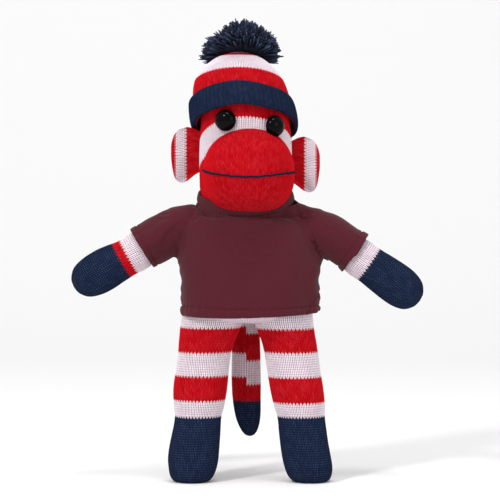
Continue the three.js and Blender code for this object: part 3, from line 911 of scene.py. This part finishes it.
def ear(side):
    """A flat, stuffed flap whose outer half curls forward. Its rows run up and down."""
    sign = SIGN[side]
    pivot = joint(f"ear_fold_{side}")
    outline = Profile([
        (0, -0.6), (0.2, -0.72), (0.45, -0.93), (0.66, -1.0), (0.86, -0.84), (0.97, -0.35), (1.0, 0.15),
        (0.96, 0.52), (0.8, 0.86), (0.52, 1.0), (0.3, 0.98), (0.14, 0.9), (0, 0.82),
    ])
    low = Profile(outline.line[: np.argmax(outline.line[:, 0] >= 0.999) + 1])
    high = Profile(outline.line[np.argmax(outline.line[:, 0] >= 0.999):][::-1])

    def edge(half, s):
        return np.interp(s, half.line[:, 0], half.line[:, 1])

    turn = np.linspace(0, 2 * math.pi, 400)
    walked = np.concatenate([[0], np.cumsum(np.hypot(np.diff(np.cos(turn)), 0.2 * np.diff(np.sin(turn))))])

    def surface(u, v):
        """u runs evenly round the pad, over its front and back, and v from the head outwards."""
        s = np.clip(v, 0, 0.995) ** 0.92
        bottom, top = edge(low, s) * EAR_HALF, edge(high, s) * EAR_HALF
        angle = np.interp(np.mod(u, 1) * walked[-1], walked, turn)
        t = np.cos(angle)
        z = (top + bottom) / 2 + (top - bottom) / 2 * t
        full = np.sqrt(np.clip(1 - s**6, 0, 1))
        thick = (2.5 + 0.8 * s) * full
        near_rim = np.abs(t) ** 4
        curl = -2.4 * smoothstep(0.35, 1.0, np.maximum(s, near_rim * 0.9))
        cup = curl + 1.2 * (1 - near_rim) * (1 - s) * 0.6
        y = cup - sign * thick * np.sin(angle)
        x = s * (EAR_REACH + EAR_TUCK) - EAR_TUCK
        points = np.stack([pivot[0] + sign * x, pivot[1] + y, pivot[2] + z], axis=-1)
        return points + lumps(points, 14, 31 + sign)[..., None] * np.array([0, 0.35, 0.2])

    courses = rows(16.5)
    wales = 32
    outer = {"right": 0.88, "left": 0.90}[side]
    bands = [(0, "red"), (0.52 * courses, "white"), (outer * courses, "red")]
    material = knit_material(f"ear_knit_{side}", bands, courses, seed=12 + sign)
    [piece] = knit([(f"ear_knit_{side}", 0, courses)], surface, wales, courses, material, depth=RELIEF * 0.7,
                   cap=("end",))
    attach(piece, f"ear_{side}")
    pad(piece, "striped_knit", 0.7, f"ear_{side}")


# ---- T-shirt ----
BIG = 10  # the cloth is simulated at ten times its size, where the solver is steady
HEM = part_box("shirt_front")[0][2] / MM
SLEEVE_LENGTH = {"right": 30.5, "left": 34.5}
SLEEVE = [
    # way down the arm, radius, rise above the arm's axis; the last row is the hem
    (-14, 8.0, -2.6), (-6, 9.0, -2.3), (0, 10.3, -1.8), (6, 12.2, -0.6), (12, 13.2, 0.3), (20, 12.9, 0.9),
    (27, 12.3, 1.1), (40, 12.1, 1.1),
]
HEM_FLARE = {"right": 0.0, "left": 1.5}
COLLAR = {"radius": 27.6, "low": 57.5, "seam": 64.5, "high": 73.8, "thick": 1.6, "tilt": 14}
TRUNK = [
    # height, half width, half depth
    (HEM - 8, 36.4, 26.0), (HEM, 36.6, 26.8), (98, 37.4, 27.0), (104, 37.8, 26.6), (111, 37.2, 25.8),
    (119, 38.8, 25.0), (128, 38.2, 24.4), (137, 35.6, 24.6), (144, 32.4, 25.6),
]
NECK = [(-5.0, 27.6), (-1.5, 26.9), (3.0, 26.6), (9.0, 26.6)]  # height over the neckline, radius
CLOTH = 0.9  # thickness
ARMPIT_HEIGHT = {"right": 120.0, "left": 118.0}
VOXEL = 2.3  # size of the cloth's mesh before it is subdivided
BODY_SHARE = 0.915  # the body that the cloth hangs on, as a share of the shirt's own width
ARM_FORM = 10.9  # radius of the arms that it hangs on
SLEEVES_FROM = (0.033, 0.110)  # metres from the middle and over the floor where the sleeves are cut off
TRUNK_WITHIN = 0.0415  # metres from the middle within which front and back are parted
FRAMES = 26  # length of the simulation
SLIDE, BULGE, SINK = 3.0, 2.0, 0.75  # how far it may move the cloth along itself, out and in


def jersey_material():
    n = Nodes("maroon_jersey")
    where = n.add("ShaderNodeTexCoord").outputs["Object"]
    fine = n.noise(where, 2600.0, 2.0)
    nap = n.noise(where, 700.0, 3.0)
    cloud = n.noise(where, 45.0, 2.0)
    mixed = n.math("ADD", n.math("MULTIPLY", nap, 0.5), n.math("MULTIPLY", cloud, 0.5))
    body = n.mix(mixed, (0.058, 0.0078, 0.0135), (0.088, 0.0135, 0.0215))
    n.bump(n.math("MULTIPLY_ADD", fine, 0.5, nap), 0.14, 0.55)
    return n.set(Base_Color=body, Roughness=0.95, Sheen_Weight=0.1, Sheen_Roughness=0.5,
                 Specular_IOR_Level=0.08)


def bag(rings):
    """Points and faces of a closed bag through rings of points."""
    count = len(rings[0])
    points = [tuple(p) for ring in rings for p in ring]
    faces = [tuple(range(count))[::-1]]
    for i in range(len(rings) - 1):
        for j in range(count):
            a, b = i * count + j, i * count + (j + 1) % count
            faces.append((a, b, b + count, a + count))
    faces.append(tuple((len(rings) - 1) * count + j for j in range(count)))
    return points, faces


def trunk_rings():
    angles = np.linspace(0, 2 * math.pi, 48, endpoint=False)
    table = np.array(TRUNK)
    rings = []
    for z in np.linspace(table[0, 0], table[-1, 0], 26):
        wide, deep = (np.interp(z, table[:, 0], table[:, k]) for k in (1, 2))
        rise = np.clip((z - HEM) / 60, 0, 1)
        square = 1 + 0.28 * (1 - rise)
        x = np.sign(np.sin(angles)) * np.abs(np.sin(angles)) ** (1 / square) * wide
        y = -np.sign(np.cos(angles)) * np.abs(np.cos(angles)) ** (1 / square) * deep
        y = np.where(y > 0, y * (1 + 0.09 * smoothstep(112, 140, z)), y)
        middle = TORSO[:2] + (HEAD[:2] - TORSO[:2]) * np.array([rise**3, rise])
        rings.append(np.stack([middle[0] + x, middle[1] + y, np.full_like(x, z)], axis=1))
    low, normal = neck_plane()
    middle = HEAD + normal * ((low - HEAD) @ normal)
    forward = np.cross(normal, (1, 0, 0))
    forward = forward if forward[1] < 0 else -forward
    loop = np.sin(angles)[:, None] * np.array([1, 0, 0]) + np.cos(angles)[:, None] * forward
    return rings + [middle + normal * rise + loop * radius for rise, radius in NECK]


def sleeve_rings(side):
    pivot, down, up = arm_frame(side)
    angles = np.linspace(0, 2 * math.pi, 32, endpoint=False)
    rings = []
    table = np.array(SLEEVE)
    for s in np.linspace(-14, SLEEVE_LENGTH[side] + 5, 14):
        wide, rise = (np.interp(s, table[:, 0], table[:, k]) for k in (1, 2))
        wide += HEM_FLARE[side] * smoothstep(-9, 0, s - SLEEVE_LENGTH[side])
        loop = np.cos(angles)[:, None] * FORWARD + np.sin(angles)[:, None] * up
        rings.append(pivot + down * s + up * rise + wide * loop)
    return rings


def neck_plane():
    """A point on the neckline's plane and the plane's normal."""
    tilt = math.radians(COLLAR["tilt"] + 3)
    normal = np.array([0, -math.sin(tilt), math.cos(tilt)])
    height = -COLLAR["radius"] * math.cos(math.radians(COLLAR["seam"]))
    return HEAD + normal * (height - 0.7), normal


def hem_planes():
    """The cloth's cut edges, as (point, normal that looks out of the cloth)."""
    planes = {"hem": (np.array([0, 0, HEM]), np.array([0, 0, -1.0]))}
    for side in SIDES:
        pivot, down, _ = arm_frame(side)
        planes[side] = (pivot + down * SLEEVE_LENGTH[side], down)
    planes["neck"] = neck_plane()
    return planes


def modified(made, kind, **settings):
    """Adds one modifier and applies it."""
    modifier = made.modifiers.new(kind, kind)
    for key, value in settings.items():
        setattr(modifier, key, value)
    bpy.context.view_layer.objects.active = made
    bpy.ops.object.modifier_apply(modifier=modifier.name)
    return made


def corners_of(mesh):
    """The corners of a mesh in millimetres, and their normals."""
    return np.array([v.co for v in mesh.vertices]) / MM, np.array([v.normal for v in mesh.vertices])


def drop(made):
    bpy.data.objects.remove(made, do_unlink=True)


def around(edit, wanted):
    """The faces whose middle is wanted, with their edges and corners, always in the same order."""
    faces = [f for f in edit.faces if wanted(f.calc_center_median())]
    corners = [v for f in faces for v in f.verts]
    edges = [e for f in faces for e in f.edges]
    return list(dict.fromkeys(corners + edges + faces))


def sewn_shirt():
    """The whole T-shirt before it settles: one sheet with four open edges."""
    points, faces = [], []
    for rings in (trunk_rings(), sleeve_rings("right"), sleeve_rings("left")):
        if np.linalg.det(np.stack([rings[0][0] - rings[0].mean(0), rings[0][1] - rings[0][0],
                                   rings[1].mean(0) - rings[0].mean(0)])) < 0:
            rings = [ring[::-1] for ring in rings]
        more, others = bag(rings)
        faces += [tuple(i + len(points) for i in face) for face in others]
        points += more
    made = mesh_object("shirt_whole", np.array(points) * BIG, faces)
    modified(made, "REMESH", mode="VOXEL", voxel_size=VOXEL * BIG * MM)
    modified(made, "SMOOTH", factor=0.5, iterations=5)
    edit = bmesh.new()
    edit.from_mesh(made.data)
    neck, wide = HEAD * BIG * MM, 30.5 * BIG * MM
    low = (neck_plane()[0][2] - 9) * BIG * MM

    def bend(way):
        """Raises the neckline at the shoulders: a flat cut through bent cloth."""
        for v in edit.verts:
            aside = min(1, abs(v.co.x - neck[0]) / (27 * BIG * MM))
            v.co.z += way * 2.0 * BIG * MM * aside**2

    for key, (point, normal) in hem_planes().items():
        geometry = edit.verts[:] + edit.edges[:] + edit.faces[:]
        if key in SIDES:
            geometry = around(edit, lambda c: (c.x > 0) == (key == "left"))
        elif key == "neck":
            bend(-1)
            geometry = around(edit, lambda c: math.hypot(c.x - neck[0], c.y - neck[1]) < wide and c.z > low)
        bmesh.ops.bisect_plane(edit, geom=geometry, plane_co=point * BIG * MM, plane_no=normal,
                               clear_outer=True, dist=1e-5)
        if key == "neck":
            bend(1)
    bmesh.ops.remove_doubles(edit, verts=edit.verts, dist=0.5 * BIG * MM)
    edit.to_mesh(made.data)
    edit.free()
    return made


def collider(rings):
    points, faces = bag(rings)
    made = mesh_object("form", np.array(points) * BIG, faces)
    made.modifiers.new("Collision", "COLLISION")
    made.collision.thickness_outer = 0.35 * BIG * MM
    made.collision.cloth_friction = 12
    return made


def forms():
    """What the T-shirt hangs on: the body and the arms."""
    inner = []
    for ring in trunk_rings():
        middle = ring.mean(axis=0)
        inner.append(middle + (ring - middle) * BODY_SHARE)
    made = [collider(inner[3:-3])]
    for side in SIDES:
        pivot, down, up = arm_frame(side)
        angles = np.linspace(0, 2 * math.pi, 24, endpoint=False)
        loop = np.cos(angles)[:, None] * FORWARD + np.sin(angles)[:, None] * up
        made.append(collider([pivot + down * s + ARM_FORM * loop for s in np.linspace(-8, 52, 12)]))
    return made


def settle(made):
    """Lets the T-shirt hang and crease, but not stray far from its cut."""
    before = np.array([v.co for v in made.data.vertices])
    pins = made.vertex_groups.new(name="pins")
    for v in made.data.vertices:
        hold = 0.0
        for key, (point, normal) in hem_planes().items():
            depth = -(np.array(v.co) / (BIG * MM) - point) @ normal
            if key == "neck":
                hold = max(hold, 1 - smoothstep(0.5, 7, depth))
            elif key in SIDES and (v.co.x > 0) == (key == "left"):
                hold = max(hold, 0.25 * (1 - smoothstep(0.3, 5, depth)))
        pins.add([v.index], float(hold), "REPLACE")
    helpers = forms()
    cloth = made.modifiers.new("Cloth", "CLOTH")
    s = cloth.settings
    s.quality = 8
    s.mass = 0.25
    s.tension_stiffness = s.compression_stiffness = 25
    s.shear_stiffness = 12
    s.bending_stiffness = 1.2
    s.vertex_group_mass = "pins"
    s.pin_stiffness = 1.5
    s.shrink_min = -0.055
    s.use_pressure = True
    s.uniform_pressure_force = 0.7
    cloth.collision_settings.distance_min = 0.4 * BIG * MM
    cloth.collision_settings.use_self_collision = False
    cloth.point_cache.frame_start, cloth.point_cache.frame_end = 1, FRAMES
    scene = bpy.context.scene
    for number in range(1, FRAMES + 1):
        scene.frame_set(number)
        bpy.context.view_layer.update()
    now = made.evaluated_get(bpy.context.evaluated_depsgraph_get()).data
    after = np.array([v.co for v in now.vertices])
    made.modifiers.remove(cloth)
    scene.frame_set(1)
    for helper in helpers:
        drop(helper)
    # The cloth may bulge and slide by a few millimetres, but hardly sink into what it covers.
    moved = after - before
    normals = np.array([v.normal for v in made.data.vertices])
    out = (moved * normals).sum(axis=1, keepdims=True)
    slide = moved - out * normals
    far = np.linalg.norm(slide, axis=1, keepdims=True)
    limit = SLIDE * BIG * MM
    slide *= np.tanh(far / limit) * limit / np.maximum(far, 1e-9)
    limit = np.where(out > 0, BULGE, SINK) * BIG * MM
    moved = slide + normals * np.tanh(out / limit) * limit
    made.data.vertices.foreach_set("co", (before + moved).ravel())
    made.data.update()
    return made


def shirt_details(points, normals):
    """Hems, side seams and the puckers that sewing leaves, as moves along the normals."""
    move = np.zeros(len(points))
    for key, (point, normal) in hem_planes().items():
        if key == "neck":
            continue
        depth = -(points - point) @ normal
        if key == "hem":
            near = np.ones(len(points), bool)
            walk = np.arctan2(points[:, 1] - TORSO[1], points[:, 0]) * 30
        else:
            near = ((points[:, 0] > 0) == (key == "left")) & (np.abs(points[:, 0]) > 30)
            walk = points[:, 1] * 1.3
        wide, tall = {"hem": (5.2, 0.55), "right": (4.6, 0.3), "left": (6.0, 0.3)}[key]
        fold = tall * (1 - smoothstep(wide - 0.5, wide + 0.35, depth)) * smoothstep(-0.1, 0.9, depth)
        seam = np.exp(-(((depth - wide - 0.1) / 0.5) ** 2)) * -0.46
        wave = np.sin(walk * 1.9 + 1.3 * np.sin(walk * 0.37))
        pucker = wave * np.exp(-(((depth - wide) / 2.6) ** 2)) * 0.16
        move += np.where(near & (depth < 14), fold + seam + pucker, 0)
    beside = np.abs(points[:, 1] - TORSO[1])
    low = 1 - smoothstep(118, 124, points[:, 2])
    seam = np.exp(-((beside / 0.7) ** 2)) * -0.42
    pucker = np.sin(points[:, 2] * 0.95 + np.sin(points[:, 2] * 0.31)) * np.exp(-((beside / 6.5) ** 2)) * 0.24
    move += (seam + pucker) * low
    # The sleeves are set in along a seam from the neck to the armpit, and the cloth dips along it.
    armhole = np.interp(points[:, 2], [118, 123, 130, 137, 146, 153], [39.5, 38.6, 37.4, 35.2, 30.6, 26.5])
    aside = np.abs(points[:, 0] - TORSO[0]) - armhole
    high = smoothstep(118, 124, points[:, 2])
    wave = 0.3 * np.sin(points[:, 2] * 0.55 + points[:, 0])
    dip = 0.34 * np.exp(-((aside / 0.45) ** 2)) + (0.42 + wave) * np.exp(-(((aside - 0.4) / 2.3) ** 2))
    move -= high * dip
    moved = points + normals * move[:, None]
    # The front of the hem hangs a little lower than its sides.
    front = smoothstep(-4, 16, TORSO[1] - points[:, 1]) * (1 - smoothstep(HEM + 4, HEM + 40, points[:, 2]))
    moved[:, 2] -= 1.3 * front * np.clip(1 - ((points[:, 0] - TORSO[0]) / 37) ** 2, 0, 1)
    return moved


def largest(chosen, polygons):
    """Of the chosen faces, those of the largest patch that hangs together."""
    group = {}

    def root(i):
        while group.setdefault(i, i) != i:
            group[i] = group[group[i]]
            i = group[i]
        return i

    picked = np.flatnonzero(chosen)
    for number in picked:
        first = root(polygons[number][0])
        for corner in polygons[number][1:]:
            group[root(corner)] = first
    roots = np.array([root(polygons[number][0]) for number in picked])
    names, sizes = np.unique(roots, return_counts=True)
    kept = np.zeros(len(chosen), bool)
    kept[picked[roots == names[np.argmax(sizes)]]] = True
    return kept


def piece_of(centres, polygons):
    """The piece that each face belongs to: 0 front, 1 back, then a root and a sleeve for each side."""
    kind = np.where(centres[:, 1] < TORSO[1], 0, 1)
    for k, side in enumerate(SIDES):
        out = centres[:, 0] * SIGN[side]
        beyond = (centres[:, 2] > ARMPIT_HEIGHT[side]) | (out > ARMPIT[side] + RING_AT)
        sleeve = largest((out > ARMPIT[side]) & beyond, polygons)
        kind[sleeve] = 2 + 2 * k
        kind[sleeve & (out > ARMPIT[side] + RING_AT)] = 3 + 2 * k
    return kind


def cut_at(edit, point, normal, wanted):
    bmesh.ops.bisect_plane(edit, geom=around(edit, wanted), plane_co=[c * MM for c in point], plane_no=normal,
                           dist=1e-7)


def shirt():
    material = jersey_material()
    whole = settle(sewn_shirt())
    whole.data.transform(Matrix.Scale(1 / BIG, 4))
    modified(whole, "SUBSURF", levels=2)
    mesh = whole.data
    points = shirt_details(*corners_of(mesh))
    mesh.vertices.foreach_set("co", (points * MM).ravel())
    mesh.update()
    edit = bmesh.new()
    edit.from_mesh(mesh)
    for side in SIDES:
        sign = SIGN[side]
        for far in (ARMPIT[side], ARMPIT[side] + RING_AT):
            cut_at(edit, (sign * far, 0, 0), (1, 0, 0),
                   lambda c: c.x * sign > SLEEVES_FROM[0] and c.z > SLEEVES_FROM[1])
    cut_at(edit, (0, TORSO[1], 0), (0, 1, 0), lambda c: abs(c.x) < TRUNK_WITHIN)
    edit.to_mesh(mesh)
    edit.free()
    modified(whole, "SOLIDIFY", thickness=CLOTH * MM, offset=-1.0, use_even_offset=False)
    points, normals = corners_of(mesh)
    polygons = [tuple(p.vertices) for p in mesh.polygons]
    centres = np.array([p.center for p in mesh.polygons]) / MM
    kind = piece_of(centres, polygons)
    drop(whole)
    names = ["shirt_front_cloth", "shirt_back_cloth"]
    for side in SIDES:
        names += [f"sleeve_root_{side}", f"sleeve_cloth_{side}"]
    made = {}
    for number, name in enumerate(names):
        chosen = [polygons[i] for i in np.flatnonzero(kind == number)]
        used = sorted({i for face in chosen for i in face})
        index = {old: new for new, old in enumerate(used)}
        faces = [tuple(index[i] for i in face) for face in chosen]
        made[name] = mesh_object(name, points[used], faces, normals=normals[used], material=material)
    for half in ("front", "back"):
        cloth = made[f"shirt_{half}_cloth"]
        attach(cloth, "torso")
        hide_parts(f"shirt_{half}")
    for side in SIDES:
        start, ring, outer = blend_planes(side)
        root, cloth = made[f"sleeve_root_{side}"], made[f"sleeve_cloth_{side}"]
        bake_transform(root)
        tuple(start)
        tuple(ring)
        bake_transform(cloth)
        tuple(ring)
        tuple(outer)
        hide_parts(f"sleeve_{side}")
    collar(material)


def collar(material):
    """A ribbed band that hugs the jaw."""
    tilt = math.radians(COLLAR["tilt"])
    turn = np.array(Matrix.Rotation(tilt, 3, "X"))
    low, high, thick = COLLAR["low"], COLLAR["high"], COLLAR["thick"]
    section = Profile([
        (0.15, 0.0), (0.75, -0.02), (1.0, 0.08), (1.05, 0.45), (1.05, 0.8), (0.8, 0.985), (0.4, 1.0),
        (0.1, 0.93), (0.0, 0.6), (0.0, 0.2), (0.15, 0.0),
    ])
    ribs, fine = 88, 6
    u, v = np.meshgrid(np.arange(ribs * fine) / (ribs * fine), np.arange(40) / 40)
    out, up = section.at(v)
    rib = 0.14 * np.cos(u * ribs * 2 * math.pi) * smoothstep(0.5, 0.9, out)
    a = np.radians(low + (high - low) * up)
    r = COLLAR["radius"] + out * thick + rib - thick * 0.1 - 1.5 * smoothstep(0.5, 1, up)
    angle = u * 2 * math.pi
    flat = np.stack([r * np.sin(a) * np.sin(angle), -r * np.sin(a) * np.cos(angle), -r * np.cos(a)], axis=-1)
    points = (HEAD + flat @ turn.T).reshape(-1, 3)
    loops, columns = u.shape
    i, j = (g.ravel() for g in np.meshgrid(np.arange(loops), np.arange(columns), indexing="ij"))
    right, above = (j + 1) % columns, (i + 1) % loops
    faces = np.stack([i * columns + j, i * columns + right, above * columns + right, above * columns + j],
                     axis=1)
    made = mesh_object("shirt_collar_rib", points, faces.tolist(), material=material)
    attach(made, "torso")
    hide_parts("shirt_collar")


# ---- Stage ----
def backdrop():
    """A pale floor that curves up behind the toy."""
    n = Nodes("paper")
    material = n.set(Base_Color=(0.9, 0.9, 0.9, 1), Roughness=0.9, Specular_IOR_Level=0.1)
    line = [(-2.5, 0.0), (0.9, 0.0)]
    for t in range(10, 91, 10):
        a = math.radians(t)
        line.append((0.9 + 0.6 * math.sin(a), 0.6 - 0.6 * math.cos(a)))
    line.append((1.5, 3.0))
    points, faces = [], []
    for y, z in line:
        points += [(-3000, y / MM, z / MM), (3000, y / MM, z / MM)]
    for i in range(len(line) - 1):
        faces.append((2 * i, 2 * i + 1, 2 * i + 3, 2 * i + 2))
    made = mesh_object("backdrop", points, faces, material=material)


def light(name, place, target, size, watts):
    data = bpy.data.lights.new(name, "AREA")
    data.shape = "DISK"
    data.size = size
    data.energy = watts
    made = bpy.data.objects.new(name, data)
    made.location = place
    made.rotation_euler = (Vector(target) - Vector(place)).to_track_quat("-Z", "Y").to_euler()
    bpy.context.scene.collection.objects.link(made)


def studio():
    scene = bpy.context.scene
    backdrop()
    middle = (0, 0, 0.14)
    light("key", (-0.75, -1.15, 1.25), middle, 0.26, 14)
    light("fill", (1.1, -1.0, 0.55), middle, 0.9, 3)
    light("top", (0.1, -0.45, 1.5), middle, 0.5, 6)
    world = bpy.data.worlds.new("soft")
    world.use_nodes = True
    world.node_tree.nodes["Background"].inputs[0].default_value = (1, 1, 1, 1)
    world.node_tree.nodes["Background"].inputs[1].default_value = 0.74
    scene.world = world
    scene.view_settings.view_transform = "Standard"

    tall = cad_box[1][2] - cad_box[0][2]
    away, wide = 1.5, tall * 1.0638
    data = bpy.data.cameras.new("camera")
    data.sensor_width = 36
    data.lens = 36 * (away - 0.02) / wide
    camera = bpy.data.objects.new("camera", data)
    rise = math.radians(2)
    target = Vector((0.0016, 0, 0.1275))
    camera.location = target + Vector((0, -away * math.cos(rise), away * math.sin(rise)))
    camera.rotation_euler = (target - camera.location).to_track_quat("-Z", "Y").to_euler()
    scene.collection.objects.link(camera)
    scene.camera = camera


for limb in SIDES:
    leg(limb)
    arm(limb)
    ear(limb)
tail()
body()
head()
muzzle()
mouth()
eyes()
crown()
cuff()
pompom()
shirt()
studio()

bpy.context.view_layer.update()
